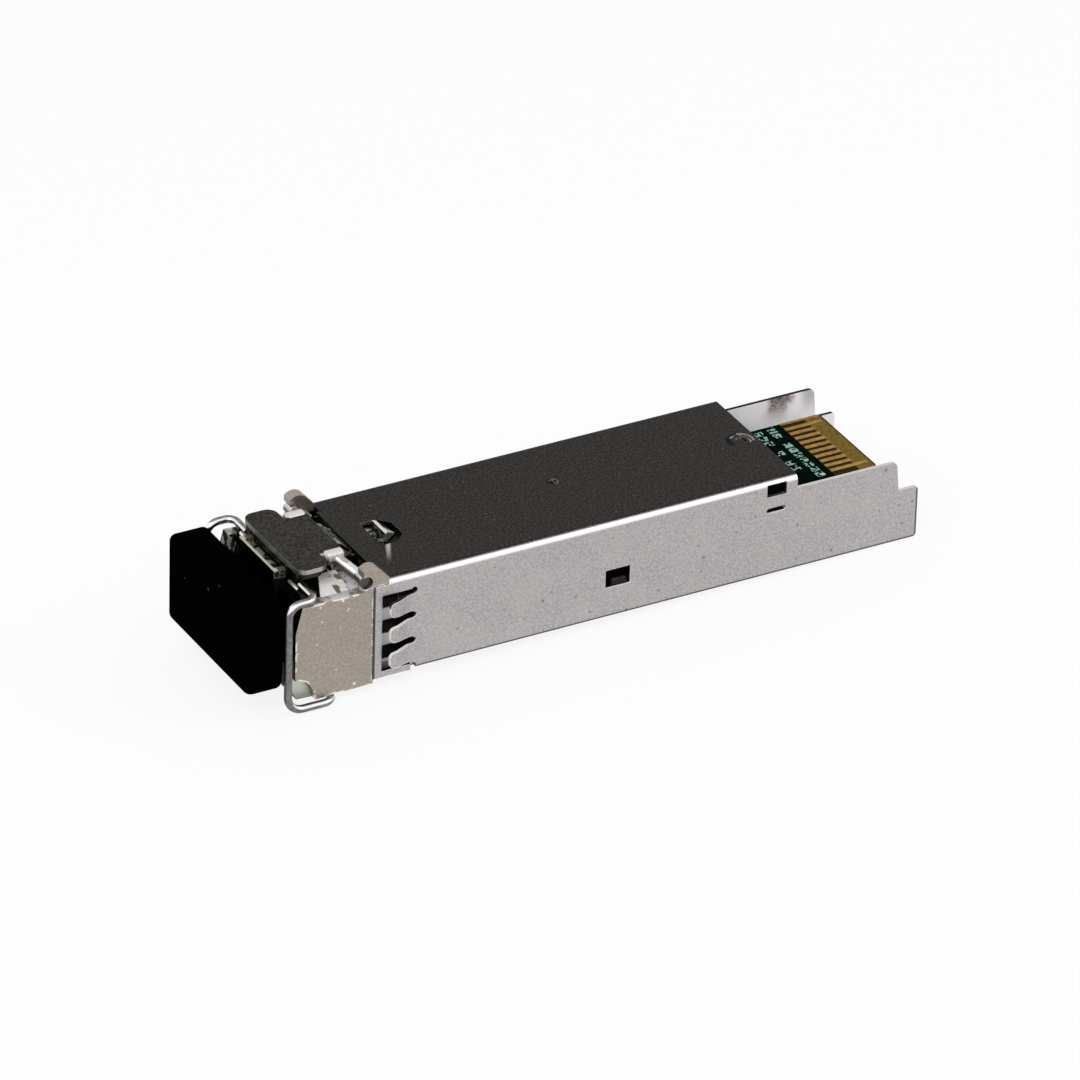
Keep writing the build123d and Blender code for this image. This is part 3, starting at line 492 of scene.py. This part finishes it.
# The dust plug is moulded from soft black plastic, matt, with a few grains of dust on it. A patchy painted
# highlight runs a little paler along the upper edges of its near side.
plug = Paint("plug_plastic", 0.9, 0.0, 0.0)
fine = plug.noise(3800)
specks = plug.dots(760, 0.055) * plug.noise(900).step(0.54, 0.60)
colour = specks.mix((0.0008, 0.0008, 0.0009), (0.16, 0.16, 0.16))
edge_highlight = plug.edges(0.0002) * plug.noise(1500).step(0.56, 0.62) * (plug.z > 0.0070) * (plug.y < -0.0055)
colour = (edge_highlight * 0.5).mix(colour, (0.10, 0.10, 0.10))
plug.feed("Base Color", colour)
plug.bump(fine, 0.3, 0.00003)
plug.dress("dust_plug")

# The circuit board is dark green where the mask covers it, with rows of short pale marks and a gold dot,
# and bare and bronze at its card edge.
cell = 0.00018
letter = 0.00084
row_border = -0.0078
dot_x, dot_y, dot_radius = -0.00709, -0.00379, 0.0002
bare_front, pad_rear, board_rear = -0.00634, -0.0041, -0.00255
board = Paint("board_mask", 0.55, 0.0, 0.0)
fine = board.noise(3000)
mask_colour = fine.step(0.3, 0.7).mix((0.0008, 0.0030, 0.0020), (0.0020, 0.0075, 0.0055))


def chance(across, along):
    """A random value between 0 and 1 for each pair of whole numbers."""
    place = board.start.node("ShaderNodeCombineXYZ", {}, {0: across, 1: along})
    settings = {"noise_dimensions": "2D"}
    return board.start.node("ShaderNodeTexWhiteNoise", settings, {"Vector": place}, "Value")


filled = chance((board.x / cell).floored(), (board.y / cell).floored()) > 0.44
gap = board.y.modulo(letter) > 0.24 * letter
kept = chance((board.y / letter).floored(), (board.x < row_border) * 7.0) > 0.26
rows = board.x.between(-0.00765, -0.00694) + board.x.between(-0.00895, -0.00815)
marks = rows * gap * kept * filled * board.y.between(-0.0041, 0.0045) * (board.face_z > 0.5)
mask_colour = marks.mix(mask_colour, (0.24, 0.42, 0.35))
dot = board.span(dot_x, dot_y) < dot_radius
mask_colour = dot.mix(mask_colour, (0.55, 0.50, 0.33))
bare_colour = fine.step(0.3, 0.7).mix((0.13, 0.085, 0.018), (0.19, 0.125, 0.028))
bare_colour = (board.x < pad_rear).mix(bare_colour, (0.030, 0.019, 0.006))
colour = board.x.step(bare_front, bare_front + 0.00006).mix(mask_colour, bare_colour)
# The board's side faces and a strip along its rear edge are painted in shade.
rim = ((board.face_z < 0.5) + (board.x > board_rear - 0.00012)).capped()
colour = rim.mix(colour, (0.006, 0.005, 0.004))
board.feed("Base Color", colour)
board.bump(fine, 0.1, 0.00002)
board.dress("circuit_board")

# The card edge pads are thin gold over copper, in a row on each side of the board, and look deep orange in
# soft light.
gold = Paint("pad_gold", 0.46, tint=0.7)
fine = gold.noise(2600)
gold.feed("Base Color", fine.step(0.3, 0.7).mix((0.29, 0.165, 0.045), (0.44, 0.26, 0.082)))
gold.dress("contact_pads")

# The leaf spring lies flat in the nose with its free end under the latch's rear arm, which presses it down
# as the latch rocks.
cad_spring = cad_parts["latch_spring"]
leaf = bpy.data.objects.new("leaf_spring", cad_spring.data.copy())
bpy.context.scene.collection.objects.link(leaf)
bpy.ops.object.select_all(action="DESELECT")
bpy.context.view_layer.objects.active = leaf
leaf.select_set(True)
bpy.ops.object.mode_set(mode="EDIT")
bpy.ops.mesh.select_all(action="SELECT")
bpy.ops.mesh.remove_doubles(threshold=0.000001)
bpy.ops.object.mode_set(mode="OBJECT")
leaf_steel = Paint("leaf_steel", 0.3, 1.0)
grains = leaf_steel.noise(2600)
leaf_steel.feed("Base Color", grains.step(0.3, 0.7).mix((0.45, 0.44, 0.43), (0.58, 0.57, 0.56)))
leaf_steel.dress("latch_spring")
leaf.data.materials.clear()
leaf.data.materials.append(leaf_steel.material)
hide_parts("latch_spring")
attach(leaf, "module")
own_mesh(leaf)

# The barrels and cans of the optics are turned and drawn steel, and the sleeves for the ferrules are white
# ceramic. The strap over the cans is bright spring sheet.


def plain_finish(name, dark, light, roughness, metallic, scale, node_names):
    """A finish with fine, even variation, for like pieces inside."""
    made = Paint(name, roughness, metallic)
    grains = made.noise(scale)
    made.feed("Base Color", grains.step(0.3, 0.7).mix(dark, light))
    made.feed("Roughness", roughness - 0.06 + grains * 0.12)
    made.dress(*node_names)


optics = ("transmitter_barrel", "receiver_barrel", "transmitter_can", "receiver_can")
plain_finish("turned_steel", (0.42, 0.41, 0.39), (0.55, 0.54, 0.52), 0.3, 1.0, 3000, optics)
sleeves = ("transmitter_sleeve", "receiver_sleeve")
plain_finish("sleeve_ceramic", (0.74, 0.73, 0.70), (0.80, 0.79, 0.77), 0.35, 0.0, 2500, sleeves)
plain_finish("spring_sheet", (0.45, 0.44, 0.43), (0.58, 0.57, 0.56), 0.3, 1.0, 2600, ("optics_clamp",))

# The flexible circuits are amber film with copper inside. The chips are black moulded packages, and the
# small parts on the board are ceramic chips.
flexes = ("transmitter_flex", "receiver_flex")
plain_finish("amber_film", (0.33, 0.15, 0.03), (0.42, 0.20, 0.05), 0.35, 0.0, 2200, flexes)
chips = ("laser_driver", "receive_amplifier", "memory_controller")
plain_finish("chip_mould", (0.012, 0.012, 0.012), (0.022, 0.022, 0.022), 0.6, 0.0, 3600, chips)
plain_finish("capacitor_ceramic", (0.30, 0.20, 0.11), (0.38, 0.26, 0.16), 0.45, 0.0, 3000, ("capacitors",))
dark_chips = ("resistors", "inductors")
plain_finish("resistor_ceramic", (0.02, 0.02, 0.02), (0.05, 0.05, 0.05), 0.5, 0.0, 3000, dark_chips)

# The module lies on a pale table top, on the bail's crossbar and the shell's rear edge. The table looks
# white, and keeps the object's soft shadow.
table_gap = 0.00003
table_glow = 0.86


def seen_rays(start):
    """1 for rays from the camera, off a mirror or through glass, and 0 for the rays that light the object."""
    kinds = ("Is Camera Ray", "Is Glossy Ray", "Is Transmission Ray")
    camera_ray, glossy_ray, through_ray = [start.node("ShaderNodeLightPath", {}, {}, kind) for kind in kinds]
    return start.maths("ADD", camera_ray + glossy_ray, through_ray, True)


bpy.ops.object.select_all(action="DESELECT")
bpy.ops.mesh.primitive_plane_add(size=6.0, location=(0, 0, 0))
floor = bpy.context.object
floor.name = "table_top"
slope = (bar_z - wire_radius) / bar_x
for vertex in floor.data.vertices:
    vertex.co.z = vertex.co.x * slope - table_gap
pale = Paint("pale_table", 0.9, 0.0, 0.1)
pale.shader.inputs["Base Color"].default_value = (0.86, 0.86, 0.86, 1)
glow = pale.start.node("ShaderNodeEmission", {}, {"Color": (1, 1, 1, 1), "Strength": 1.0})
plain = Socket(pale.tree, pale.shader.outputs[0])
glowing = seen_rays(pale.start) * table_glow
both = pale.start.node("ShaderNodeMixShader", {}, {0: glowing, 1: plain, 2: glow})
pale.tree.links.new(both.socket, pale.tree.nodes["Material Output"].inputs["Surface"])
floor.data.materials.append(pale.material)

# The light is plain and soft: an even white surround, a broad lamp over the camera's left and a weaker one
# over its right.
world = bpy.data.worlds.new("studio")
bpy.context.scene.world = world
world.use_nodes = True
start = Socket(world.node_tree)
surround = world.node_tree.nodes["Background"]
surround.inputs["Color"].default_value = (1, 1, 1, 1)
surround.inputs["Strength"].default_value = 0.75
white = start.node("ShaderNodeBackground", {}, {"Color": (1, 1, 1, 1), "Strength": 1.0})
soft = Socket(start.tree, surround.outputs[0])
both = start.node("ShaderNodeMixShader", {}, {0: seen_rays(start), 1: soft, 2: white})
start.tree.links.new(both.socket, world.node_tree.nodes["World Output"].inputs["Surface"])
middle = Vector((-0.03, 0, 0.004))
for name, place, size, power in (
    ("key_lamp", (-0.35, -0.25, 0.45), 0.25, 1.1),
    ("fill_lamp", (0.35, -0.25, 0.35), 0.2, 0.5),
):
    lamp = bpy.data.lights.new(name, "AREA")
    lamp.size = size
    lamp.energy = power
    holder = bpy.data.objects.new(name, lamp)
    bpy.context.scene.collection.objects.link(holder)
    holder.location = place
    holder.rotation_euler = (middle - Vector(place)).to_track_quat("-Z", "Y").to_euler()

# The camera stands where the photograph was taken, about 0.73 m away with a long lens, and looks down on
# the nose and the near side.
sensor_width = 36.0
focal_pixels, picture_pixels = 9286, 1080
camera_data = bpy.data.cameras.new("camera")
camera_data.sensor_width = sensor_width
camera_data.lens = focal_pixels / picture_pixels * sensor_width
camera = bpy.data.objects.new("camera", camera_data)
bpy.context.scene.collection.objects.link(camera)
right = Vector((0.876859, -0.480122, 0.024512))
down = Vector((-0.225230, -0.455318, -0.861369))
ahead = Vector((0.424723, 0.749779, -0.507388))
eye = Vector((-0.339908, -0.546225, 0.373647))
camera.matrix_world = Matrix(
    (
        (right.x, -down.x, -ahead.x, eye.x),
        (right.y, -down.y, -ahead.y, eye.y),
        (right.z, -down.z, -ahead.z, eye.z),
        (0, 0, 0, 1),
    )
)
bpy.context.scene.camera = camera
bpy.context.scene.view_settings.view_transform = "Standard"
